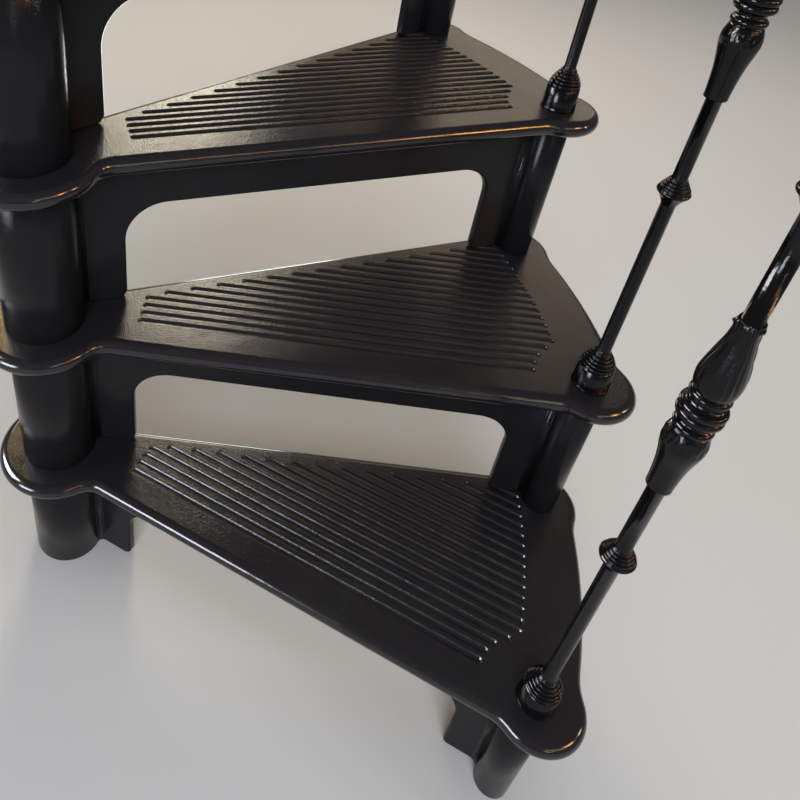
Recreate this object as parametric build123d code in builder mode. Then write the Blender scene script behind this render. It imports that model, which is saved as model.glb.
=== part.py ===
from build123d import *
from math import atan2, cos, degrees, hypot, pi, radians, sin, sqrt
import os

os.makedirs("parts", exist_ok=True)

# Flight: the spiral climbs anticlockwise, seen from above, about the Z axis
step_count = 6
rise = 200.0
first_rise = 184.0
step_angle = 22.5

# Centre pole and the cap on its top
pole_radius = 28.0
pole_clearance = 0.3
pole_rise = 60.0
cap_thickness = 14.0

# Tread casting
plate_thickness = 20.0
plate_edge = 5.0
collar_radius = 68.5
collar_blend = 22.0
outer_radius = 602.0
front_setback = 26.8
rear_angle = 23.2
rear_overlap = 29.1
nose_radius = 44.3
nose_ahead = 4.5
nose_side = 7.0
pad_radius = 45.5
front_blend = 34.0
outer_blend = 60.0
rear_blend = 26.0

# Grooves in the tread top
groove_pitch = 11.64
groove_width = 7.0
groove_depth = 2.4
first_groove = 12.5
groove_hub_margin = 94.0
groove_outer_margin = 60.0
groove_rear_margin = 19.0
groove_nose_clearance = 54.5
shortest_groove = 16.0

# Riser casting: hub sleeve, flat frame and round outer column
sleeve_radius = 41.0
web_thickness = 11.0
web_rear = 23.7
rib_edge = 86.5
band_depth = 60.0
column_radius = 19.4
post_width = 57.0
inner_arch = 44.0
outer_arch = 38.0
rib_foot_round = 10.0
post_foot_round = 6.0

# Baluster, round about the centre of the nose and drawn with few sides, because it repeats
baluster_sides = 12
baluster_inset = 37.8
baluster_side = 5.2
rail_height = 850.0
rod_radius = 6.3
cup_radius = 18.0
cup_height = 27.0
dome_height = 20.0
dome_neck = 8.5
knob_height = 238.0
knob_radius = 14.2
knob_cone = 11.0
knob_dome = 13.0
knob_crown = 4.0
vase_height = 407.0
vase_half_length = 78.0
leaf_radius = 15.4
leaf_cut_radius = 9.4
leaf_widest = 28.0
lip_radius = 13.4
lip_offset = 13.0
lip_slope = 4.0
neck_radius = 10.3
neck_offset = 8.0
ring_radius = 16.3
ring_half_width = 4.5

# Handrail
rail_width = 40.0
rail_thickness = 18.0
rail_overrun = 7.0
rail_seat_gap = 0.3

bore_radius = pole_radius + pole_clearance
baluster_radius = outer_radius - baluster_inset
web_front = web_rear - web_thickness
post_edge = baluster_radius - post_width
turn = radians(step_angle)
baluster_turn = atan2(baluster_side, baluster_radius)
foot_x = baluster_radius * cos(turn) - baluster_side * sin(turn)
foot_y = baluster_radius * sin(turn) + baluster_side * cos(turn)


def tread_level(number):
    """Height of a tread's top; number 0 is the floor."""
    return first_rise + rise * (number - 1) if number else 0.0


def step_plane(number, level):
    """Local frame of one step: x along its grooves, z up, at a height on the pole."""
    angle = turn * (number - 1)
    return Plane(origin=(0, 0, level), x_dir=(cos(angle), sin(angle), 0), z_dir=(0, 0, 1))


def web_plane(number, level):
    """Front face of one riser's flat frame: x along the step, y up, z towards the climber."""
    angle = turn * (number - 1)
    origin = (-web_front * sin(angle), web_front * cos(angle), level)
    return Plane(origin=origin, x_dir=(cos(angle), sin(angle), 0), z_dir=(sin(angle), -cos(angle), 0))


def baluster_plane(number):
    """Upright frame at the middle of one nose, on the tread's top, with x along the radius."""
    angle = turn * (number - 1) + baluster_turn
    reach = hypot(baluster_radius, baluster_side)
    origin = (reach * cos(angle), reach * sin(angle), tread_level(number))
    return Plane(origin=origin, x_dir=(cos(angle), sin(angle), 0), z_dir=(0, 0, 1))


def rear_line(x):
    """Rear edge of the plate, under the next riser."""
    lean = radians(rear_angle)
    return (rear_overlap + x * sin(lean)) / cos(lean)


def groove_rows():
    """Middle and length of every groove, from the front edge to the rear corner."""
    lean = radians(rear_angle)
    reach = outer_radius - groove_outer_margin
    rows = []
    y = first_groove
    while y < reach:
        start = max(groove_hub_margin, (y * cos(lean) - rear_overlap + groove_rear_margin) / sin(lean))
        end = sqrt(reach**2 - y**2)
        beside = abs(y - baluster_side)
        if beside < groove_nose_clearance:
            end = min(end, baluster_radius - sqrt(groove_nose_clearance**2 - beside**2))
        if end - start < shortest_groove:
            break
        rows.append(((start + end) / 2, y, end - start))
        y += groove_pitch
    return rows


def make_tread(number):
    """One plate: wedge, hub collar, round nose and the round foot pad of the next column."""
    top = step_plane(number, tread_level(number))
    nose_reach = outer_radius / hypot(baluster_radius, baluster_side)
    nose_edge = (baluster_radius * nose_reach, baluster_side * nose_reach)
    foot_edge = (foot_x * nose_reach, foot_y * nose_reach)
    middle = baluster_turn + turn / 2
    outer_middle = (outer_radius * cos(middle), outer_radius * sin(middle))
    with BuildPart() as tread:
        with BuildSketch(top) as outline:
            with BuildLine():
                Polyline((baluster_radius, -front_setback), nose_edge)
                ThreePointArc(nose_edge, outer_middle, foot_edge)
                Polyline(
                    foot_edge,
                    (foot_x, rear_line(foot_x)),
                    (0, rear_line(0)),
                    (0, -front_setback),
                    (baluster_radius, -front_setback),
                )
            make_face()
            Circle(collar_radius)
            with Locations((baluster_radius + nose_ahead, nose_side)):
                Circle(nose_radius)
            with Locations((foot_x, foot_y)):
                Circle(pad_radius)
            front_corner = (baluster_radius - nose_radius, -front_setback)
            rear_corner = (foot_x - pad_radius, foot_y)
            fillet(outline.vertices().sort_by_distance((0, 0))[0:2], collar_blend)
            fillet(outline.vertices().sort_by_distance(front_corner)[0], front_blend)
            fillet(outline.vertices().sort_by_distance(rear_corner)[0], rear_blend)
            fillet(outline.vertices().sort_by_distance(outer_middle)[0:2], outer_blend)
        extrude(amount=-plate_thickness)
        chamfer(tread.faces().sort_by(Axis.Z)[-1].edges(), plate_edge)
        with BuildSketch(top):
            Circle(bore_radius)
        extrude(amount=-plate_thickness, mode=Mode.SUBTRACT)
        with BuildSketch(step_plane(number, tread_level(number) - groove_depth)):
            for middle_x, y, length in groove_rows():
                with Locations((middle_x, y)):
                    Rectangle(length, groove_width)
        extrude(amount=2 * groove_depth, mode=Mode.SUBTRACT)
    return tread


def make_riser(number):
    """One casting: hub sleeve, rib, top band and post, with the round column under the nose."""
    foot = tread_level(number - 1)
    height = tread_level(number) - plate_thickness - foot
    floor_frame = step_plane(number, foot)
    with BuildPart() as riser:
        with BuildSketch(web_plane(number, foot)):
            with Locations((sleeve_radius * 0.8, 0)):
                Rectangle(baluster_radius - sleeve_radius * 0.8, height, align=(Align.MIN, Align.MIN))
            with BuildSketch(mode=Mode.SUBTRACT) as opening:
                with Locations((rib_edge, 0)):
                    Rectangle(post_edge - rib_edge, height - band_depth, align=(Align.MIN, Align.MIN))
                top_corners = opening.vertices().group_by(Axis.Y)[-1].sort_by(Axis.X)
                fillet(top_corners[0], inner_arch)
                fillet(opening.vertices().group_by(Axis.Y)[-1].sort_by(Axis.X)[-1], outer_arch)
        extrude(amount=-web_thickness)
        across_web = Axis((0, 0, 0), web_plane(number, foot).z_dir)
        feet = riser.edges().filter_by(across_web).group_by(Axis.Z)[0]
        rib_foot, post_foot = feet.sort_by_distance((0, 0, foot))[1:3]
        fillet(rib_foot, rib_foot_round)
        fillet(post_foot, post_foot_round)
        with BuildSketch(floor_frame):
            Circle(sleeve_radius)
            with Locations((baluster_radius, baluster_side)):
                Circle(column_radius)
        extrude(amount=height)
        with BuildSketch(floor_frame):
            Circle(bore_radius)
        extrude(amount=height, mode=Mode.SUBTRACT)
    return riser


def make_baluster(number):
    """One baluster, which is what equally turned silhouettes leave where they cross."""
    stand = baluster_plane(number)
    right = [(radius, height) for height, radius in baluster_stations()]
    left = [(-radius, height) for radius, height in reversed(right)]
    with BuildPart() as baluster:
        for side in range(baluster_sides // 2):
            angle = 2 * pi * side / baluster_sides
            across = stand.x_dir * cos(angle) + stand.y_dir * sin(angle)
            with BuildSketch(Plane(origin=stand.origin, x_dir=across, z_dir=across.cross(stand.z_dir))):
                with BuildLine():
                    Polyline(*right, *left, close=True)
                make_face()
            extrude(amount=2 * cup_radius, both=True, mode=Mode.INTERSECT if side else Mode.ADD)
        slope = atan2(rise, turn * baluster_radius)
        seat = stand.offset(rail_height - rail_seat_gap / cos(slope))
        seat_normal = stand.z_dir * cos(slope) - stand.y_dir * sin(slope)
        split(bisect_by=Plane(origin=seat.origin, x_dir=seat.x_dir, z_dir=seat_normal), keep=Keep.BOTTOM)
    return baluster


def baluster_stations():
    """Heights and radii from the nose to just above the rail's underside."""
    stations = cup_stations() + knob_stations(knob_height) + vase_stations()
    stations += knob_stations(2 * vase_height - knob_height)
    return stations + [(rail_height + 2 * rod_radius, rod_radius)]


def cup_stations():
    """Cup that stands on the nose and the dome that closes it, as heights and radii."""
    return [
        (0, cup_radius),
        (cup_height, cup_radius),
        (cup_height + 0.4 * dome_height, 0.8 * cup_radius),
        (cup_height + 0.9 * dome_height, dome_neck),
        (cup_height + dome_height, rod_radius),
    ]


def knob_stations(level):
    """A bead on the rod: plain cone below, domed above."""
    return [
        (level - knob_cone, rod_radius),
        (level, knob_radius),
        (level + knob_crown, knob_radius - 1.0),
        (level + knob_dome, rod_radius),
    ]


def vase_stations():
    """Two leaf bells back to back, each with a lip, and a broad ring between them."""
    half = [
        (vase_half_length + 1.0, rod_radius),
        (vase_half_length, leaf_cut_radius),
        (leaf_widest, leaf_radius),
        (lip_offset + lip_slope, neck_radius),
        (lip_offset, lip_radius),
        (neck_offset, neck_radius),
        (ring_half_width, ring_radius),
    ]
    lower = [(vase_height - offset, radius) for offset, radius in half]
    upper = [(vase_height + offset, radius) for offset, radius in reversed(half)]
    return lower + upper


def make_pole():
    top = tread_level(step_count) + pole_rise
    with BuildPart() as pole:
        with BuildSketch(Plane.XY):
            Circle(pole_radius)
        extrude(amount=top)
    return pole


def make_cap():
    """Closed sleeve over the pole's end, which clamps the stack of castings from above."""
    base = Plane.XY.offset(tread_level(step_count))
    depth = pole_rise + pole_clearance
    with BuildPart() as cap:
        with BuildSketch(base):
            Circle(sleeve_radius)
        extrude(amount=depth + cap_thickness)
        with BuildSketch(base):
            Circle(bore_radius)
        extrude(amount=depth, mode=Mode.SUBTRACT)
    return cap


def make_handrail():
    """Moulded rail on the line of the baluster tops."""
    overrun = radians(rail_overrun)
    sweep_turn = turn * (step_count - 1) + 2 * overrun
    start = baluster_turn - overrun
    radius = hypot(baluster_radius, baluster_side)
    pitch = rise * 2 * pi / turn
    level = tread_level(1) + rail_height - pitch * overrun / (2 * pi)
    spiral = Helix(pitch, pitch * sweep_turn / (2 * pi), radius, center=(0, 0, level), mode=Mode.PRIVATE)
    with BuildPart() as rail:
        with BuildLine() as path:
            add(spiral.rotate(Axis.Z, degrees(start)))
        with BuildSketch(Plane(origin=path.line @ 0, z_dir=path.line % 0, x_dir=(cos(start), sin(start), 0))):
            with Locations((0, 0)):
                with BuildLine():
                    Polyline(
                        (-rail_width / 2, 0),
                        (rail_width / 2, 0),
                        (rail_width / 2, -rail_thickness / 2),
                        (rail_width / 4, -rail_thickness),
                        (-rail_width / 4, -rail_thickness),
                        (-rail_width / 2, -rail_thickness / 2),
                        close=True,
                    )
                make_face()
        sweep(is_frenet=True)
    return rail


for number in range(1, step_count + 1):
    tread = make_tread(number)
    tread.part.label = f"tread_{number:02d}"
    export_step(tread.part, f"parts/tread_{number:02d}.step")

    riser = make_riser(number)
    riser.part.label = f"riser_{number:02d}"
    export_step(riser.part, f"parts/riser_{number:02d}.step")

    baluster = make_baluster(number)
    baluster.part.label = f"baluster_{number:02d}"
    export_step(baluster.part, f"parts/baluster_{number:02d}.step")

centre_pole = make_pole()
centre_pole.part.label = "centre_pole"
export_step(centre_pole.part, "parts/centre_pole.step")

pole_cap = make_cap()
pole_cap.part.label = "pole_cap"
export_step(pole_cap.part, "parts/pole_cap.step")

handrail = make_handrail()
handrail.part.label = "handrail"
export_step(handrail.part, "parts/handrail.step")
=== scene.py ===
import bmesh
import bpy
from math import atan2, ceil, cos, exp, hypot, pi, radians, sin, sqrt, tan
from mathutils import Matrix, Vector
from mathutils.geometry import tessellate_polygon


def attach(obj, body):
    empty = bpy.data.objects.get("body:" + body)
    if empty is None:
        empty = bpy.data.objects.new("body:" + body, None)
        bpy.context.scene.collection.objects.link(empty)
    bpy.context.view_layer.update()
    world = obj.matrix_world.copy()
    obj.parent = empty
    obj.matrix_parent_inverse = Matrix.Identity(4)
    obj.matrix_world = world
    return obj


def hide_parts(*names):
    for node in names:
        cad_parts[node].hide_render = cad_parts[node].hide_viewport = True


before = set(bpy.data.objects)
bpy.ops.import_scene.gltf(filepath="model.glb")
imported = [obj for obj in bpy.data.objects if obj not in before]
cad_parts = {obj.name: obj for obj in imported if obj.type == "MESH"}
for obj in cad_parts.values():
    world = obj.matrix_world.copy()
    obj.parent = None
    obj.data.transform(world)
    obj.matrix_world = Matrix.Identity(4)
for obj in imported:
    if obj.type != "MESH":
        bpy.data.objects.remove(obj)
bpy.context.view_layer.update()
mm = 0.001

stair = {
    "steps": 6,
    "rise": 200.0,
    "firstRise": 184.0,
    "turn": 22.5,
    "plate": 20.0,
    "bore": 28.3,  # hole through each casting for the pole
    "balusterX": 564.2,  # baluster's middle, in the frame of its own step
    "balusterY": 5.2,
}
turn = radians(stair["turn"])
balusterFoot = (stair["balusterX"], stair["balusterY"])
print("frame loaded:", len(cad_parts), "nodes")


# sRGB hex code to the linear values that Blender wants
def colour(hexCode):
    channels = [int(hexCode[i:i + 2], 16) / 255 for i in (1, 3, 5)]
    return [c / 12.92 if c < 0.04045 else ((c + 0.055) / 1.055) ** 2.4 for c in channels] + [1.0]


def addNode(tree, kind, settings=None, inputs=None):
    node = tree.nodes.new(kind)
    for name, value in (settings or {}).items():
        setattr(node, name, value)
    for name, value in (inputs or {}).items():
        if isinstance(value, bpy.types.NodeSocket):
            tree.links.new(value, node.inputs[name])
        else:
            node.inputs[name].default_value = value
    return node


def makeObject(name, verts, faces, flatFaces=()):
    mesh = bpy.data.meshes.new(name)
    mesh.from_pydata([(x * mm, y * mm, z * mm) for x, y, z in verts], [], faces)
    mesh.polygons.foreach_set("use_smooth", [i not in flatFaces for i in range(len(faces))])
    mesh.update()
    obj = bpy.data.objects.new(name, mesh)
    bpy.context.scene.collection.objects.link(obj)
    return obj


# verts in millimetres, gathered ring by ring
class Shell:
    def __init__(self):
        self.verts, self.faces, self.flat = [], [], set()

    def ring(self, points):
        start = len(self.verts)
        self.verts += points
        return list(range(start, start + len(points)))

    def band(self, lower, upper):
        count = len(lower)
        for i in range(count):
            j = (i + 1) % count
            self.faces.append((lower[i], lower[j], upper[j], upper[i]))

    def flatFace(self, corners):
        self.flat.add(len(self.faces))
        self.faces.append(tuple(corners))

    # level face with holes: the first loop is the outside
    def fill(self, loops, up):
        flatLoops = [[Vector((*self.verts[i][:2], 0)) for i in loop] for loop in loops]
        index = [i for loop in loops for i in loop]
        for corners in tessellate_polygon(flatLoops):
            a, b, c = (index[i] for i in corners)
            pa, pb, pc = (Vector(self.verts[i][:2]) for i in (a, b, c))
            area = (pb - pa).cross(pc - pa)
            if abs(area) > 1e-9:  # leaves out slivers with no area
                self.flatFace((a, b, c) if (area > 0) == up else (a, c, b))

    def join(self, other):
        start = len(self.verts)
        self.flat |= {i + len(self.faces) for i in other.flat}
        self.verts += other.verts
        self.faces += [tuple(i + start for i in face) for face in other.faces]

    def object(self, name):
        obj = makeObject(name, self.verts, self.faces, self.flat)
        work = bmesh.new()
        work.from_mesh(obj.data)
        bmesh.ops.remove_doubles(work, verts=work.verts, dist=1e-6)
        bmesh.ops.recalc_face_normals(work, faces=work.faces)
        work.to_mesh(obj.data)
        work.free()
        return obj


# profile runs up the outside as radius and height; a list of radii gives one for each direction
def revolve(profile, centre, segments, closed=False):
    shell = Shell()
    angles = [2 * pi * i / segments for i in range(segments)]
    rings = []
    for radius, z in profile:
        if radius == 0:
            rings.append(shell.ring([(*centre, z)]))
            continue
        radii = radius if isinstance(radius, list) else [radius] * segments
        rings.append(shell.ring([
            (centre[0] + r * cos(a), centre[1] + r * sin(a), z) for r, a in zip(radii, angles)]))
    pairs = list(zip(rings, rings[1:])) + ([(rings[-1], rings[0])] if closed else [])
    for lower, upper in pairs:
        if len(lower) > 1 and len(upper) > 1:
            shell.band(lower, upper)
            continue
        for i in range(segments):
            j = (i + 1) % segments
            if len(lower) == 1:
                shell.faces.append((lower[0], upper[j], upper[i]))
            else:
                shell.faces.append((lower[i], lower[j], upper[0]))
    return shell


# points with outward normals, one each step in degrees; an arc that bends inward runs clockwise
def arc(centre, radius, start, end, inward=False, step=5.0):
    if inward:
        while end > start:
            end -= 2 * pi
    else:
        while end < start:
            end += 2 * pi
    count = max(4, ceil(abs(end - start) / radians(step)))
    side = -1 if inward else 1
    points = []
    for i in range(count + 1):
        a = start + (end - start) * i / count
        x, y = cos(a), sin(a)
        points.append((centre[0] + radius * x, centre[1] + radius * y, side * x, side * y))
    return points


def bearing(origin, target):
    return atan2(target[1] - origin[1], target[0] - origin[0])


# centre of a round that touches two circles, nearest to a point
def besideCircles(centreA, radiusA, centreB, radiusB, near):
    a, b = Vector(centreA), Vector(centreB)
    gap = (b - a).length
    along = (radiusA ** 2 - radiusB ** 2 + gap ** 2) / (2 * gap)
    off = sqrt(radiusA ** 2 - along ** 2)
    d = (b - a) / gap
    side = Vector((-d.y, d.x))
    options = [a + d * along + side * off, a + d * along - side * off]
    return min(options, key=lambda p: (p - Vector(near)).length)


# centre of a round at a distance to the right of a line and a radius from a circle's centre
def besideLine(point, direction, distance, centre, radius, near):
    d = Vector(direction).normalized()
    base = Vector(point) + Vector((d.y, -d.x)) * distance
    toBase = base - Vector(centre)
    half = toBase.dot(d)
    root = sqrt(half ** 2 - toBase.length_squared + radius ** 2)
    options = [base + d * (-half + root), base + d * (-half - root)]
    return min(options, key=lambda p: (p - Vector(near)).length)


def moved(points, angle, lift):
    c, s = cos(angle), sin(angle)
    return [(x * c - y * s, x * s + y * c, z + lift) for x, y, z in points]


# Geometry Nodes repeat: each copy is turned about the pole and lifted by one rise
def spiralTree():
    tree = bpy.data.node_groups.new("spiralRepeat", "GeometryNodeTree")
    sockets = {"Geometry": "Geometry", "Count": "Int", "Rise": "Float", "Turn": "Float",
               "Finish": "Material"}
    for name, kind in sockets.items():
        tree.interface.new_socket(name, in_out="INPUT", socket_type="NodeSocket" + kind)
    tree.interface.new_socket("Geometry", in_out="OUTPUT", socket_type="NodeSocketGeometry")
    given = addNode(tree, "NodeGroupInput").outputs
    lift = addNode(tree, "ShaderNodeCombineXYZ", inputs={"Z": given["Rise"]}).outputs[0]
    line = addNode(tree, "GeometryNodeMeshLine", inputs={
        "Count": given["Count"], "Offset": lift}).outputs[0]
    index = addNode(tree, "GeometryNodeInputIndex").outputs[0]
    angle = addNode(tree, "ShaderNodeMath", {"operation": "MULTIPLY"}, {
        0: index, 1: given["Turn"]}).outputs[0]
    spin = addNode(tree, "ShaderNodeCombineXYZ", inputs={"Z": angle}).outputs[0]
    copies = addNode(tree, "GeometryNodeInstanceOnPoints", inputs={
        "Points": line, "Instance": given["Geometry"], "Rotation": spin}).outputs[0]
    solid = addNode(tree, "GeometryNodeRealizeInstances", inputs={"Geometry": copies}).outputs[0]
    painted = addNode(tree, "GeometryNodeSetMaterial", inputs={
        "Geometry": solid, "Material": given["Finish"]}).outputs[0]
    addNode(tree, "NodeGroupOutput", inputs={"Geometry": painted})
    return tree


# the copies as one plain mesh object, which rides on a body
def repeatUpStair(obj, name, count, finish):
    modifier = obj.modifiers.new("spiralRepeat", "NODES")
    modifier.node_group = spiralRepeat
    values = {"Count": count, "Rise": stair["rise"] * mm, "Turn": turn, "Finish": finish}
    for item in spiralRepeat.interface.items_tree:
        if item.in_out == "INPUT" and item.name in values:
            modifier[item.identifier] = values[item.name]
    shape = obj.evaluated_get(bpy.context.evaluated_depsgraph_get())
    mesh = bpy.data.meshes.new_from_object(shape)
    mesh.name = name
    bpy.data.objects.remove(obj)
    result = bpy.data.objects.new(name, mesh)
    bpy.context.scene.collection.objects.link(result)
    return result


def dress(obj, nodes):
    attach(obj, "root")
    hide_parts(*nodes)


spiralRepeat = spiralTree()

# lengths in millimetres; the patches are where shoes, hands and damp have dulled the paint
paint = {
    "colour": "#19181A",
    "worn": "#282622",
    "roughness": 0.12,
    "ior": 1.5,
    "pebble": 2.4,  # bumps that the sand of the mould leaves
    "pebbleDepth": 0.12,
    "grain": 0.8,
    "grainDepth": 0.08,
    "wave": 26.0,  # slow waves of the casting, which bend the reflections
    "waveDepth": 0.35,
    "patch": 1000 / 9,
    "wearRange": (0.50, 0.78),  # of the patches, from whole paint to the most worn
    "wearMost": 0.5,
    "glossRange": (0.3, 0.75),  # of the patches, from the shiniest to the dullest
    "glossSpread": (0.8, 1.6),  # times the roughness, at those two
    "skinRoughness": 0.0,  # added where the mesh's relief attribute says sand-cast skin
}


# gloss black enamel brushed over sand-cast iron: mirror-like, but rippled by the casting under it
def makePaint(name, changes):
    s = {**paint, **changes}
    material = bpy.data.materials.new(name)
    material.use_nodes = True
    tree = material.node_tree
    tree.nodes.clear()
    place = addNode(tree, "ShaderNodeTexCoord").outputs["Object"]
    wave = addNode(tree, "ShaderNodeTexNoise", inputs={
        "Vector": place, "Scale": 1 / (s["wave"] * mm), "Detail": 1.0}).outputs[0]
    pebble = addNode(tree, "ShaderNodeTexVoronoi", inputs={
        "Vector": place, "Scale": 1 / (s["pebble"] * mm)}).outputs["Distance"]
    grain = addNode(tree, "ShaderNodeTexNoise", inputs={
        "Vector": place, "Scale": 1 / (s["grain"] * mm), "Detail": 1.0}).outputs[0]
    patches = addNode(tree, "ShaderNodeTexNoise", inputs={
        "Vector": place, "Scale": 1 / (s["patch"] * mm), "Detail": 4.0,
        "Roughness": 0.65}).outputs[0]
    relief = addNode(tree, "ShaderNodeAttribute", {"attribute_name": "relief"}).outputs["Fac"]
    strength = relief if s["skinRoughness"] else 1.0
    waveBump = addNode(tree, "ShaderNodeBump", inputs={
        "Height": wave, "Distance": s["waveDepth"] * mm}).outputs[0]
    pebbleBump = addNode(tree, "ShaderNodeBump", {"invert": True}, {
        "Height": pebble, "Distance": s["pebbleDepth"] * mm, "Strength": strength,
        "Normal": waveBump}).outputs[0]
    grainBump = addNode(tree, "ShaderNodeBump", inputs={
        "Height": grain, "Distance": s["grainDepth"] * mm, "Strength": strength,
        "Normal": pebbleBump}).outputs[0]
    wear = addNode(tree, "ShaderNodeMapRange", inputs={
        "Value": patches, "From Min": s["wearRange"][0], "From Max": s["wearRange"][1],
        "To Min": 0.0, "To Max": s["wearMost"]}).outputs[0]
    tint = addNode(tree, "ShaderNodeMix", {"data_type": "RGBA"}, {  # 6 and 7 are its colours
        0: wear, 6: colour(s["colour"]), 7: colour(s["worn"])}).outputs[2]
    gloss = addNode(tree, "ShaderNodeMapRange", inputs={
        "Value": patches, "From Min": s["glossRange"][0], "From Max": s["glossRange"][1],
        "To Min": s["roughness"] * s["glossSpread"][0],
        "To Max": s["roughness"] * s["glossSpread"][1]}).outputs[0]
    skin = addNode(tree, "ShaderNodeMath", {"operation": "MULTIPLY_ADD"}, {
        0: relief, 1: s["skinRoughness"], 2: gloss}).outputs[0]
    shader = addNode(tree, "ShaderNodeBsdfPrincipled", inputs={
        "Base Color": tint, "Roughness": skin, "IOR": s["ior"], "Normal": grainBump})
    addNode(tree, "ShaderNodeOutputMaterial", inputs={"Surface": shader.outputs[0]})
    return material


treadPaint = makePaint("glossEnamelOnTreads", {
    "colour": "#1F1D1F", "pebble": 1.8, "pebbleDepth": 0.13, "grain": 1.5, "grainDepth": 0.2,
    "skinRoughness": 0.1})
riserPaint = makePaint("glossEnamelOnRisers", {
    "colour": "#1F1E20", "ior": 1.21, "pebbleDepth": 0.06})
# same enamel as the treads and risers, but its colour and worn colour are set darker: painted shade
# that keeps the balusters black against the pale floor they reflect
shadedBalusterPaint = makePaint("glossEnamelOnBalusters", {
    "colour": "#0F0E10", "worn": "#191715", "ior": 1.3, "pebbleDepth": 0.06, "grainDepth": 0.04,
    "waveDepth": 0.1})
railPaint = makePaint("glossEnamelOnRail", {"pebbleDepth": 0.06, "waveDepth": 0.1})
print("materials made")

tread = {
    "collar": 68.5,
    "collarBlend": 22.0,
    "outer": 602.0,
    "outerStep": 1.5,  # degrees for each edge of the outer arc
    "front": 26.8,
    "rearAngle": 23.2,
    "rearOverlap": 29.1,
    "nose": 44.3,
    "noseAhead": 4.5,  # the nose's middle against the baluster's
    "noseSide": 1.8,
    "pad": 45.5,
    "frontBlend": 34.0,
    "outerBlend": 60.0,
    "rearBlend": 26.0,
    "shortestEdge": 0.05,
    "boreStep": 8.0,
    "edgeRound": 9.9,
    "edgeSteps": 7,
    "topRelief": 1.0,  # how much of the sand-cast skin shows there, and so on below
    "grooveRelief": 0.5,
    "edgeRelief": 0.15,
}

groove = {
    "pitch": 11.64,
    "width": 7.0,
    "depth": 2.4,
    "first": 12.5,
    "hubMargin": 94.0,
    "outerMargin": 60.0,
    "rearMargin": 19.0,
    "noseClearance": 54.5,
    "shortest": 16.0,
    "endStep": 18.0,
    # paint rounds the rim: inset at the sides, inset at the ends and depth
    "rim": ((-0.6, -0.6, 0.0), (-0.24, -0.21, 0.08), (0.0, 0.12, 0.3)),
    # slope in degrees and fall of each facet of the long sides below the rim
    "sides": ((60, 0.35), (57, 0.35), (54, 0.35), (51, 0.35), (45, 0.2), (32, 0.2), (20, 0.15),
              (9, 0.1)),
}


# edge of one plate, anticlockwise, as x, y and the outward normal
def plateOutline():
    t = tread
    hub = (0.0, 0.0)
    nose = (balusterFoot[0] + t["noseAhead"], balusterFoot[1] + t["noseSide"])
    foot = moved([(*balusterFoot, 0)], turn, 0)[0][:2]
    lean = radians(t["rearAngle"])
    front, frontPoint = Vector((1, 0)), (0.0, -t["front"])
    rear = -Vector((cos(lean), sin(lean)))
    rearPoint = Vector((rear.y, -rear.x)) * t["rearOverlap"]
    collarReach = t["collar"] + t["collarBlend"]
    outerReach = t["outer"] + t["outerBlend"]
    # middle of each blend; the last point is a rough place that picks one of two solutions
    hubFront = besideLine(frontPoint, front, t["collarBlend"], hub, collarReach, (85, -50))
    noseFront = besideLine(frontPoint, front, t["frontBlend"], nose, t["nose"] + t["frontBlend"],
                           (nose[0] - 60, -60))
    noseOuter = besideCircles(nose, t["nose"] + t["outerBlend"], hub, outerReach,
                              (t["outer"] + 40, 90))
    footOuter = besideCircles(foot, t["pad"] + t["outerBlend"], hub, outerReach,
                              (foot[0] + 90, foot[1] - 60))
    footRear = besideLine(rearPoint, rear, t["rearBlend"], foot, t["pad"] + t["rearBlend"],
                          (foot[0] - 70, foot[1] + 20))
    hubRear = besideLine(rearPoint, rear, t["collarBlend"], hub, collarReach, (50, 80))
    # from a blend to the straight edge that it meets
    toFront = bearing((0, 0), (-front.y, front.x))
    toRear = bearing((0, 0), (-rear.y, rear.x))
    points = arc(hub, t["collar"], bearing(hub, hubRear), bearing(hub, hubFront))
    points += arc(hubFront, t["collarBlend"], bearing(hubFront, hub), toFront, True)
    points += arc(noseFront, t["frontBlend"], toFront, bearing(noseFront, nose), True)
    points += arc(nose, t["nose"], bearing(nose, noseFront), bearing(nose, noseOuter))
    points += arc(noseOuter, t["outerBlend"], bearing(noseOuter, nose), bearing(noseOuter, hub),
                  True)
    points += arc(hub, t["outer"], bearing(hub, noseOuter), bearing(hub, footOuter),
                  step=t["outerStep"])
    points += arc(footOuter, t["outerBlend"], bearing(footOuter, hub), bearing(footOuter, foot),
                  True)
    points += arc(foot, t["pad"], bearing(foot, footOuter), bearing(foot, footRear))
    points += arc(footRear, t["rearBlend"], bearing(footRear, foot), toRear, True)
    points += arc(hubRear, t["collarBlend"], toRear, bearing(hubRear, hub), True)
    pairs = zip(points, points[1:] + points[:1])
    return [p for p, q in pairs if hypot(p[0] - q[0], p[1] - q[1]) > t["shortestEdge"]]


def inset(outline, distance, z):
    return [(x - nx * distance, y - ny * distance, z) for x, y, nx, ny in outline]


# start, end and middle line of each groove
def grooveRows():
    g = groove
    lean = radians(tread["rearAngle"])
    reach = tread["outer"] - g["outerMargin"]
    clear = g["noseClearance"]
    rows = []
    y = g["first"]
    while y < reach:
        rear = (y * cos(lean) - tread["rearOverlap"] + g["rearMargin"]) / sin(lean)
        start = max(g["hubMargin"], rear)
        end = sqrt(reach ** 2 - y ** 2)
        beside = abs(y - balusterFoot[1])
        if beside < clear:
            end = min(end, balusterFoot[0] - sqrt(clear ** 2 - beside ** 2))
        if end - start < g["shortest"]:
            break
        rows.append((start, end, y))
        y += g["pitch"]
    return rows


# a slot with round ends, its normals pointing out of the slot
def stadium(start, end, y, half):
    right = arc((end - half, y), half, -pi / 2, pi / 2, step=groove["endStep"])
    left = arc((start + half, y), half, pi / 2, 3 * pi / 2, step=groove["endStep"])
    return right + left


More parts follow.
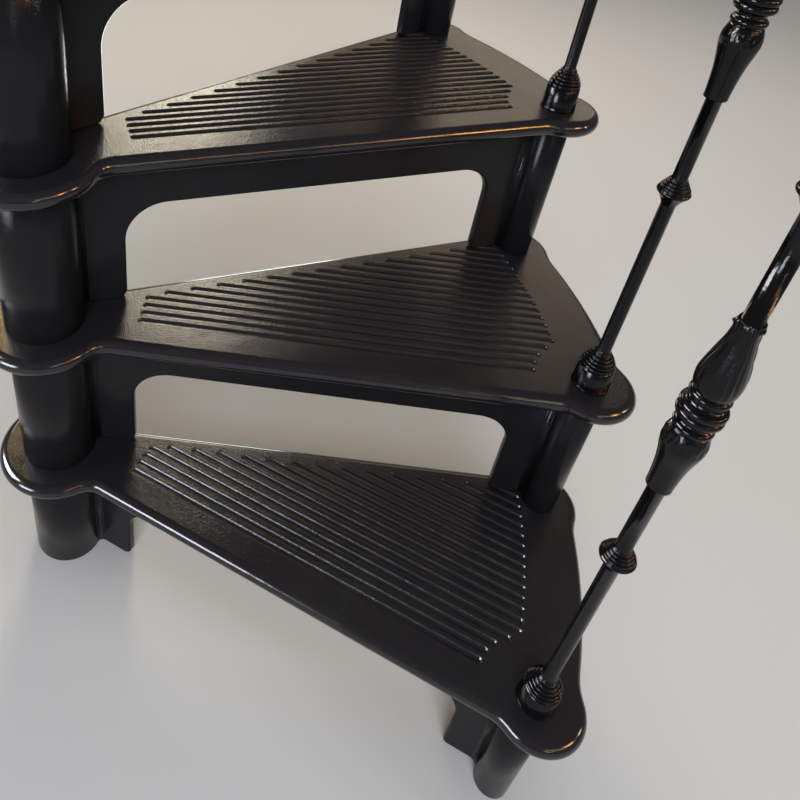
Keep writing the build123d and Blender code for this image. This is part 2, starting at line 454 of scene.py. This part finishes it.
# inset at the long sides, inset at the ends and depth of each level, from the rim down
def grooveSection():
    g = groove
    half = g["width"] / 2
    bend = (half ** 2 + g["depth"] ** 2) / (2 * g["depth"])
    levels = list(g["rim"])
    side, end, down = levels[-1]
    for slope, fall in g["sides"]:
        side += fall / tan(radians(slope))
        down += fall
        end = half - bend * sqrt(1 - (1 - (g["depth"] - down) / bend) ** 2)
        levels.append((side, end, down))
    return levels


# the ends are rounder than the sides, as a ball cutter leaves them
def grooveRing(slot, side, end, down):
    points = []
    for x, y, nx, ny in slot:
        d = side + (end - side) * abs(nx)
        points.append((x - nx * d, y - ny * d, -down))
    return points


def makeTread():
    t = tread
    shell = Shell()
    outline = plateOutline()
    lowerEdge = []  # inset and height of the lower half of the round edge
    for i in range(t["edgeSteps"] + 1):
        a = pi / 2 * i / t["edgeSteps"]
        height = -stair["plate"] + t["edgeRound"] * (1 - cos(a))
        lowerEdge.append((t["edgeRound"] * (1 - sin(a)), height))
    upperEdge = [(d, -stair["plate"] - z) for d, z in reversed(lowerEdge)]
    rings = [shell.ring(inset(outline, d, z)) for d, z in lowerEdge + upperEdge]
    for lower, upper in zip(rings, rings[1:]):
        shell.band(lower, upper)
    edgeVerts = len(shell.verts)
    bore = arc((0, 0), stair["bore"], 0, 2 * pi, step=t["boreStep"])[:-1]
    boreTop = shell.ring(inset(bore, 0, 0))
    boreBottom = shell.ring(inset(bore, 0, -stair["plate"]))
    shell.band(boreTop, boreBottom)
    slotRims = []
    for start, end, y in grooveRows():
        slot = stadium(start, end, y, groove["width"] / 2)
        slotRings = [shell.ring(grooveRing(slot, *level)) for level in grooveSection()]
        for upper, lower in zip(slotRings, slotRings[1:]):
            shell.band(upper, lower)
        shell.fill([slotRings[-1]], True)
        slotRims.append(slotRings[0])
    shell.fill([rings[-1], boreTop] + slotRims, True)
    shell.fill([rings[0], boreBottom], False)
    # the sand-cast skin shows on the flat top and wears off towards the rounded edges
    reliefs = []
    for i, point in enumerate(shell.verts):
        below = t["grooveRelief"] if i >= edgeVerts else t["edgeRelief"]
        reliefs.append(t["topRelief"] if point[2] == 0 else below)
    shell.verts = moved(shell.verts, 0, stair["firstRise"])
    obj = makeObject("treadPlate", shell.verts, shell.faces, shell.flat)
    obj.data.attributes.new("relief", "FLOAT", "POINT").data.foreach_set("value", reliefs)
    return obj


treadPlates = repeatUpStair(makeTread(), "treadPlates", stair["steps"], treadPaint)
dress(treadPlates, [f"tread_{n:02d}" for n in range(1, stair["steps"] + 1)])
print("treads made:", len(treadPlates.data.polygons), "faces")

riser = {
    "sleeve": 41.0,
    "sleeveSegments": 96,
    "web": 11.0,
    "webRear": 23.7,
    "webStart": 32.8,  # inside the sleeve
    "ribEdge": 86.5,
    "band": 60.0,
    "columnFoot": 18.4,
    "columnTop": 20.0,
    "columnSegments": 64,
    "postEdge": 507.2,
    "innerArch": 44.0,
    "outerArch": 38.0,
    "ribFoot": 10.0,
    "ribFootStep": 12.0,
    "postFoot": 6.0,
    "postFootStep": 18.0,
    "edge": 2.2,
    "ease": 1.2,
    "fillet": 6.0,
    "filletSteps": 6,
    "filletEnds": 1.0,  # how far it stops short of the plates
    "filletInWeb": 2.0,
    "filletInRound": 4.0,
}


# front view of the flat frame, anticlockwise, as x, z and the outward normal
def webOutline(height):
    r = riser
    top = height - r["band"]
    ribFoot = (r["ribEdge"] - r["ribFoot"], r["ribFoot"])
    innerArch = (r["ribEdge"] + r["innerArch"], top - r["innerArch"])
    outerArch = (r["postEdge"] - r["outerArch"], top - r["outerArch"])
    postFoot = (r["postEdge"] + r["postFoot"], r["postFoot"])
    points = [(r["webStart"], 0, 0, -1)]
    points += arc(ribFoot, r["ribFoot"], -pi / 2, 0, step=r["ribFootStep"])
    points += arc(innerArch, r["innerArch"], pi, pi / 2, True)
    points += arc(outerArch, r["outerArch"], pi / 2, 0, True)
    points += arc(postFoot, r["postFoot"], pi, 3 * pi / 2, step=r["postFootStep"])
    points += [(balusterFoot[0], 0, 0, -1), (balusterFoot[0], height, 0, 1)]
    return points + [(r["webStart"], height, 0, 1)]


def makeWeb(height):
    r = riser
    outline = webOutline(height)
    shell = Shell()
    e = r["edge"]
    quarter = [(e * (1 - sin(a)), e * (1 - cos(a))) for a in (0, pi / 6, pi / 3, pi / 2)]
    profile = [(d, r["webRear"] - back) for d, back in quarter]
    profile += [(d, r["webRear"] - r["web"] + back) for d, back in reversed(quarter)]
    rings = []
    for d, y in profile:
        rings.append(shell.ring([(x - nx * d, y, z - nz * d) for x, z, nx, nz in outline]))
    for rearRing, frontRing in zip(rings, rings[1:]):
        shell.band(frontRing, rearRing)
    for a, b, c in tessellate_polygon([[Vector((x, z, 0)) for x, z, nx, nz in outline]]):
        shell.flatFace((rings[-1][a], rings[-1][b], rings[-1][c]))
        shell.flatFace((rings[0][a], rings[0][c], rings[0][b]))
    return shell


# casting fillet between a round piece and the flat web beside it; radii at its foot and its top
def makeCove(centre, radii, wallY, front, outwards, height):
    r = riser
    fillet = r["fillet"]
    side = -1 if front else 1
    inWeb = wallY - side * r["filletInWeb"]
    shell = Shell()
    ends = []
    for radius, z in zip(radii, (r["filletEnds"], height - r["filletEnds"])):
        filletY = wallY + side * fillet
        reach = sqrt((radius + fillet) ** 2 - (filletY - centre[1]) ** 2)
        middle = (centre[0] + outwards * reach, filletY)
        start, end = bearing(middle, centre), -side * pi / 2
        while end - start > pi:
            end -= 2 * pi
        while end - start < -pi:
            end += 2 * pi
        steps = r["filletSteps"]
        sweep = [start + (end - start) * i / steps for i in range(steps + 1)]
        row = [(middle[0] + fillet * cos(a), middle[1] + fillet * sin(a)) for a in sweep]
        row += [(row[-1][0], inWeb), (centre[0] + outwards * (radius - r["filletInRound"]), inWeb)]
        ends.append(shell.ring([(x, y, z) for x, y in row]))
    shell.band(*ends)
    shell.flatFace(ends[0])
    shell.flatFace(ends[1])
    return shell


def makeRiser(name, height, foot, angle):
    r = riser
    e = r["ease"]
    hub = (0, 0)
    shell = makeWeb(height)
    sleeve = [(stair["bore"], 0), (r["sleeve"] - e, 0), (r["sleeve"], e), (r["sleeve"], height - e),
              (r["sleeve"] - e, height), (stair["bore"], height)]
    shell.join(revolve(sleeve, hub, r["sleeveSegments"], closed=True))
    column = [(0, 0), (r["columnFoot"] - e, 0), (r["columnFoot"], e), (r["columnTop"], height - e),
              (r["columnTop"] - e, height), (0, height)]
    shell.join(revolve(column, balusterFoot, r["columnSegments"]))
    webFront = r["webRear"] - r["web"]
    sleeveRadii = (r["sleeve"], r["sleeve"])
    columnRadii = (r["columnFoot"], r["columnTop"])
    shell.join(makeCove(hub, sleeveRadii, webFront, True, 1, height))
    shell.join(makeCove(hub, sleeveRadii, r["webRear"], False, 1, height))
    shell.join(makeCove(balusterFoot, columnRadii, webFront, True, -1, height))
    shell.verts = moved(shell.verts, angle, foot)
    return shell.object(name)


firstRiser = makeRiser("firstRiser", stair["firstRise"] - stair["plate"], 0, 0)
firstRiser.data.materials.append(riserPaint)
upperRiser = makeRiser("upperRiser", stair["rise"] - stair["plate"], stair["firstRise"], turn)
riserFrames = repeatUpStair(upperRiser, "riserFrames", stair["steps"] - 1, riserPaint)
dress(firstRiser, ["riser_01"])
dress(riserFrames, [f"riser_{n:02d}" for n in range(2, stair["steps"] + 1)])
print("risers made:", len(riserFrames.data.polygons), "faces")

# where a row holds pairs, they are a radius, or what is added to one, and a height
baluster = {
    "segments": 96,
    "rod": 6.3,
    "cupFoot": 18.7,
    "cupFootRing": ((-0.9, 0), (0, 0.9), (0, 2.2), (-0.5, 3.1), (-0.4, 4.5)),
    "cupTop": 17.2,
    "cupHeight": 27.0,
    "cupRound": 1.2,
    "domeRings": (16.8, 15.4, 13.5, 11.2, 8.8),
    "domePitch": 3.7,
    "domeGap": 0.4,
    "domeFill": 0.94,  # share of the pitch that a ring takes
    "domeGroove": 1.9,
    "domeTop": ((1.3, 0.4), (0.4, 1.4), (0, 3)),
    "knob": 14.2,
    "knobHeights": (238.0, 576.0),
    "knobUnder": ((0, -13.5), (0.4, -12.4)),
    "knobWaist": ((-2.4, -2.8), (-0.5, -1.4), (0, 0), (-0.6, 1.4)),
    "knobRings": 4,
    "knobFill": 0.9,
    "knobRingFrom": 2.2,
    "knobRingRise": 10.6,
    "knobTaper": 1.6,  # how much smaller each ring is than the one under it
    "knobGroove": 1.3,
    "knobOver": ((0.5, 13.4), (0, 15)),
    "vaseHeight": 407.0,
    "ring": 15.4,
    "ringWidth": 6.4,
    "ringHeight": 3.1,  # of each big ring's middle from the vase's
    "ringGroove": 2.6,
    "ringSteps": 8,
    "lip": 13.4,
    "lipWidth": 6.2,
    "lipHeight": 14.6,
    "lipUnder": (-1.4, -18.2),
    "neck": 10.3,
    "neckRound": ((0, -9.6), (0.5, -7.4)),
    # distance from the vase's middle and radius there
    "upperBell": ((18.8, 12.2), (22, 13.6), (28, 14.2), (34, 13.9), (41, 12.8), (49, 11.2),
                  (57, 9.6), (64, 8.3), (70, 7.6), (76, 7.3), (79, 7.2)),
    "lowerBell": ((18.8, 12.2), (22, 13.6), (27, 14.8), (33, 14.8), (39, 13.8), (45, 12.5),
                  (51, 11.4), (57, 10.6), (63, 10.0), (69, 9.6), (75, 9.2), (79, 9.2)),
    "bellSteps": 60,
    "bellSoft": 1.2,  # rounds the corners between those points
    "bellMouth": ((1.6, -1.5), (0, -2.0)),
    "bellFoot": ((0, -0.3),),
    "leaves": 4,
    "leafTurn": 0.5,
    "folds": 20,
    "foldFrom": 20.0,
    "foldGrow": 12.0,
    "foldHeight": 1.3,
    "tipFrom": 75.5,
    "tipWidth": 1.8,
    "tipHeight": 2.1,
    "tipWaves": 5,
    "creaseFrom": 27.0,
    "creaseWidth": 5.0,
    "creaseDepth": 0.9,
    "creases": 7,
    "railUnderside": 850.0,
    "inRail": 6.0,
}


def offset(pairs, radius, height):
    return [(radius + out, height + up) for out, up in pairs]


# ring of a turned piece, a little fuller than half round, as radius and height
def bead(middle, width, outer, inner, steps=6):
    sweep = [pi * i / steps for i in range(steps + 1)]
    return [(inner + (outer - inner) * sin(a) ** 0.8, middle - width / 2 * cos(a)) for a in sweep]


def cupProfile():
    b = baluster
    top, height, pitch = b["cupTop"], b["cupHeight"], b["domePitch"]
    points = [(0, 0)] + offset(b["cupFootRing"], b["cupFoot"], 0)
    points += [(top, height - b["cupRound"]), (top - b["cupRound"], height)]
    z = height + pitch / 2 + b["domeGap"]
    for outer in b["domeRings"]:
        points += bead(z, pitch * b["domeFill"], outer, outer - b["domeGroove"])
        z += pitch
    return points + offset(b["domeTop"], b["rod"], z - pitch / 2)


def knobProfile(middle):
    b = baluster
    points = offset(b["knobUnder"], b["rod"], middle) + offset(b["knobWaist"], b["knob"], middle)
    pitch = b["knobRingRise"] / b["knobRings"]
    for i in range(b["knobRings"]):
        outer = b["knob"] - 0.9 - (i + 0.4) * b["knobTaper"]
        z = middle + b["knobRingFrom"] + pitch * (i + 0.5)
        points += bead(z, pitch * b["knobFill"], outer, outer - b["knobGroove"])
    return points + offset(b["knobOver"], b["rod"], middle)


# the turned rings between the two leaf bells
def vaseMiddle():
    b = baluster
    h = b["vaseHeight"]
    inner = b["neck"] + b["ringGroove"]
    lower = offset([b["lipUnder"]], b["lip"], h)
    lower += bead(h - b["lipHeight"], b["lipWidth"], b["lip"], b["neck"])
    lower += offset(b["neckRound"], b["neck"], h)
    big = bead(h - b["ringHeight"], b["ringWidth"], b["ring"], inner, b["ringSteps"])
    big += bead(h + b["ringHeight"], b["ringWidth"], b["ring"], inner, b["ringSteps"])[1:]
    return lower + big + [(radius, 2 * h - z) for radius, z in reversed(lower)]


def between(keys, s):
    for (s0, r0), (s1, r1) in zip(keys, keys[1:]):
        if s <= s1:
            return r0 + (r1 - r0) * ((s - s0) / (s1 - s0))
    return keys[-1][1]


# cast leaves: narrow folds that roll out at their tips above, a creased shoulder below
def bellProfile(keys, sign):
    b = baluster
    first, last, soft = keys[0][0], keys[-1][0], b["bellSoft"]
    rows = []
    for i in range(b["bellSteps"] + 1):
        s = first + (last - first) * i / b["bellSteps"]
        beside = between(keys, max(first, s - soft)), between(keys, s), between(keys, s + soft)
        base = (beside[0] + 2 * beside[1] + beside[2]) / 4
        grow = min(1, max(0, (s - b["foldFrom"]) / b["foldGrow"]))
        tip = b["tipHeight"] * exp(-((s - b["tipFrom"]) / b["tipWidth"]) ** 2)
        crease = b["creaseDepth"] * exp(-((s - b["creaseFrom"]) / b["creaseWidth"]) ** 2)
        radii = []
        for k in range(b["segments"]):
            a = 2 * pi * (k + 0.5) / b["segments"] + b["leafTurn"]
            fold = 0.5 + 0.5 * cos(b["folds"] * a + 0.6 * sin(s / 5))
            if sign > 0:
                leaf = cos(b["leaves"] / 2 * a) ** 2
                lift = b["foldHeight"] * grow * fold ** 3 * (1 - leaf) ** 1.5
                rolled = tip * (0.35 + 0.65 * fold) * (0.6 + 0.4 * cos(b["tipWaves"] * a))
                radii.append(base + lift + rolled)
            else:
                radii.append(base - crease * (0.5 + 0.5 * cos(b["creases"] * a + 0.5 * s)) * fold)
        rows.append((radii, b["vaseHeight"] + sign * s))
    return rows


def makeBaluster():
    b = baluster
    lower, upper = bellProfile(b["lowerBell"], -1)[::-1], bellProfile(b["upperBell"], 1)
    rows = cupProfile() + knobProfile(b["knobHeights"][0])
    rows += offset(b["bellFoot"], b["rod"], lower[0][1]) + lower + vaseMiddle() + upper
    rows += offset(b["bellMouth"], b["rod"], upper[-1][1]) + knobProfile(b["knobHeights"][1])
    top = b["railUnderside"] + b["inRail"]
    shell = revolve(rows + [(b["rod"], top), (0, top)], balusterFoot, b["segments"])
    shell.verts = moved(shell.verts, 0, stair["firstRise"])
    return shell.object("balusterPost")


balusters = repeatUpStair(makeBaluster(), "balusters", stair["steps"], shadedBalusterPaint)
dress(balusters, [f"baluster_{n:02d}" for n in range(1, stair["steps"] + 1)])
print("balusters made:", len(balusters.data.polygons), "faces")

rail = {
    "width": 40.0,
    "thickness": 18.0,
    "side": ((-1.5, 0), (-0.4, 0.4), (0, 1.5), (0, 5.76), (-1.2, 7.56), (-1.6, 9.0)),
    "crownInset": 2.0,
    "crownFrom": 9.36,
    "crownSteps": 12,
    "overrun": 7.0,  # degrees past the first and the last baluster
    "stepDegrees": 1.5,
}


# moulded section: flat underside, small fillets at the sides and a low round top
def railSection():
    half, steps = rail["width"] / 2, rail["crownSteps"]
    across, up = half - rail["crownInset"], rail["thickness"] - rail["crownFrom"]
    side = offset(rail["side"], half, 0)
    sweep = [pi * i / steps for i in range(steps + 1)]
    crown = [(across * cos(a), rail["crownFrom"] + up * sin(a) ** 0.9) for a in sweep]
    return side + crown + [(-u, v) for u, v in reversed(side)]


def makeRail():
    reach = hypot(*balusterFoot)
    overrun = radians(rail["overrun"])
    start = bearing((0, 0), balusterFoot) - overrun
    total = turn * (stair["steps"] - 1) + 2 * overrun
    count = ceil(total / radians(rail["stepDegrees"]))
    climb = stair["rise"] / turn
    level = stair["firstRise"] + baluster["railUnderside"] - climb * overrun
    slope = atan2(climb, reach)
    shell = Shell()
    rings = []
    for i in range(count + 1):
        a = start + total * i / count
        out = Vector((cos(a), sin(a), 0))
        ahead = Vector((-sin(a) * cos(slope), cos(a) * cos(slope), sin(slope)))
        above = out.cross(ahead)
        middle = out * reach + Vector((0, 0, level + climb * total * i / count))
        rings.append(shell.ring([tuple(middle + out * u + above * v) for u, v in railSection()]))
    for lower, upper in zip(rings, rings[1:]):
        shell.band(lower, upper)
    shell.flatFace(rings[0])
    shell.flatFace(rings[-1])
    return shell.object("railMoulding")


railMoulding = makeRail()
railMoulding.data.materials.append(railPaint)
dress(railMoulding, ["handrail"])

cap = {
    "radius": 41.0,
    "depth": 60.3,
    "crown": 14.0,
    "foot": 1.0,  # eased edge at the bottom
    "edge": 3.0,
    "edgeSteps": 5,
    "segments": 96,
}


def makeCap():
    c = cap
    base = stair["firstRise"] + stair["rise"] * (stair["steps"] - 1)
    roof = base + c["depth"]
    top = roof + c["crown"]
    profile = [(0, roof), (stair["bore"], roof), (stair["bore"], base),
               (c["radius"] - c["foot"], base), (c["radius"], base + c["foot"])]
    for i in range(c["edgeSteps"] + 1):
        a = pi / 2 * i / c["edgeSteps"]
        inward, down = c["edge"] * (1 - cos(a)), c["edge"] * (1 - sin(a))
        profile.append((c["radius"] - inward, top - down))
    return revolve(profile + [(0, top)], (0, 0), c["segments"]).object("poleCap")


poleCap = makeCap()
poleCap.data.materials.append(riserPaint)
dress(poleCap, ["pole_cap"])
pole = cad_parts["centre_pole"]
pole.data.materials.clear()
pole.data.materials.append(riserPaint)
print("rail, pole and cap made")

studio = {
    "floor": "#D0CECB",
    "floorRoughness": 0.8,
    "floorReach": 20000.0,
    "wall": "#FFF4E8",
    "wallGlow": 0.16,
    "ceilingGlow": 0.10,
    "ceilingFrom": 0.55,  # upward part of the direction where the wall's glow starts to fade
    "ceilingTo": 0.85,
    "aim": (0.25, 0.1, 0.45),  # all lamps face this point
}

# metres and watts; a "shine" lamp gives highlights alone, a "fill" lamp gives none
lamps = {
    "window": {"place": (-1.1, 1.96, 1.95), "size": (0.6, 0.9), "power": 24.0,
               "tint": "#FFF5DC", "use": "both"},
    "farWall": {"place": (0.28, 2.35, 1.5), "size": (1.2, 0.9), "power": 4.8,
                "tint": "#FFE8C8", "use": "both"},
    "gapWall": {"place": (-0.55, 2.3, 1.6), "size": (0.6, 0.9), "power": 1.0,
                "tint": "#FFE0B0", "use": "both"},
    "warmLamp": {"place": (2.36, -0.1, 1.5), "size": (0.5, 0.4), "power": 17.0,
                 "tint": "#FFB468", "use": "shine"},
    "warmWide": {"place": (2.2, -1.0, 1.5), "size": (1.3, 0.3), "power": 6.0,
                 "tint": "#FFCFA0", "use": "shine"},
    "warmSpot": {"place": (2.46, 0.74, 1.31), "size": (0.25, 0.3), "power": 7.0,
                 "tint": "#FFD9A8", "use": "shine"},
    "frontLamp": {"place": (2.01, -1.68, 1.03), "size": (0.4, 0.3), "power": 1.5,
                  "tint": "#FFFFFF", "use": "shine"},
    "backWindow": {"place": (-0.83, -2.79, 0.7), "size": (1.1, 1.0), "power": 78.0,
                   "tint": "#EAF0FF", "use": "shine"},
    "leftWindow": {"place": (-1.71, -0.83, 1.39), "size": (1.4, 1.1), "power": 190.0,
                   "tint": "#F6F8FF", "use": "shine"},
    "goldLamp": {"place": (-3.04, 2.23, 2.87), "size": (0.8, 0.6), "power": 58.0,
                 "tint": "#FFDC98", "use": "shine"},
    "lowDoor": {"place": (-0.3, 0.97, 0.22), "size": (0.35, 0.3), "power": 3.6,
                "tint": "#F6F9FF", "use": "shine"},
    "ceiling": {"place": (0.3, 0.1, 4.0), "size": (3.0, 3.0), "power": 60.0,
                "tint": "#F4F8FF", "use": "fill"},
    "frontFill": {"place": (1.5, -3.0, 3.0), "size": (2.5, 2.5), "power": 130.0,
                  "tint": "#F0F5FF", "use": "fill"},
}


def makeFloor():
    r = studio["floorReach"]
    obj = makeObject("floor", [(-r, -r, 0), (r, -r, 0), (r, r, 0), (-r, r, 0)], [(0, 1, 2, 3)])
    material = bpy.data.materials.new("paleFloor")
    material.use_nodes = True
    shader = material.node_tree.nodes["Principled BSDF"]
    shader.inputs["Base Color"].default_value = colour(studio["floor"])
    shader.inputs["Roughness"].default_value = studio["floorRoughness"]
    shader.inputs["Specular IOR Level"].default_value = 0.0
    obj.data.materials.append(material)


# soft room light, dimmer overhead
def makeWorld():
    world = bpy.data.worlds.new("softRoom")
    world.use_nodes = True
    tree = world.node_tree
    tree.nodes.clear()
    direction = addNode(tree, "ShaderNodeTexCoord").outputs["Generated"]
    height = addNode(tree, "ShaderNodeSeparateXYZ", inputs={0: direction}).outputs["Z"]
    glow = addNode(tree, "ShaderNodeMapRange", inputs={
        "Value": height, "From Min": studio["ceilingFrom"], "From Max": studio["ceilingTo"],
        "To Min": studio["wallGlow"], "To Max": studio["ceilingGlow"]}).outputs[0]
    sky = addNode(tree, "ShaderNodeBackground", inputs={
        "Color": colour(studio["wall"]), "Strength": glow})
    addNode(tree, "ShaderNodeOutputWorld", inputs={"Surface": sky.outputs[0]})
    bpy.context.scene.world = world


def addLamp(name, settings):
    light = bpy.data.lights.new(name, "AREA")
    light.shape = "RECTANGLE"
    light.size, light.size_y = settings["size"]
    light.energy = settings["power"]
    light.color = colour(settings["tint"])[:3]
    obj = bpy.data.objects.new(name, light)
    obj.location = settings["place"]
    obj.rotation_euler = (Vector(studio["aim"]) - obj.location).to_track_quat("-Z", "Y").to_euler()
    obj.visible_diffuse = settings["use"] != "shine"
    obj.visible_glossy = settings["use"] != "fill"
    obj.visible_camera = False
    bpy.context.scene.collection.objects.link(obj)


# solved from the photo, whose frame is off the lens's centre
photoView = {
    "sensor": 36.0,
    "lens": 35.02,
    "shift": (0.1463, -0.2709),
    "nearest": 0.02,
    "place": (0.4521, -0.4336, 0.9680),
    "right": (0.88199, 0.46375, 0.08379),
    "down": (0.32079, -0.46057, -0.82763),
    "ahead": (-0.34523, 0.75684, -0.55498),
}


def makeCamera():
    v = photoView
    camera = bpy.data.cameras.new("photoCamera")
    camera.sensor_width = v["sensor"]
    camera.sensor_fit = "HORIZONTAL"
    camera.lens = v["lens"]
    camera.shift_x, camera.shift_y = v["shift"]
    camera.clip_start = v["nearest"]
    right, up, back = Vector(v["right"]), -Vector(v["down"]), -Vector(v["ahead"])
    obj = bpy.data.objects.new("photoCamera", camera)
    obj.matrix_world = Matrix((*zip(right, up, back, v["place"]), (0, 0, 0, 1)))
    bpy.context.scene.collection.objects.link(obj)
    bpy.context.scene.camera = obj


makeFloor()
makeWorld()
for lampName, lampSettings in lamps.items():
    addLamp(lampName, lampSettings)
makeCamera()
bpy.context.scene.view_settings.view_transform = "Standard"
print("stage made")
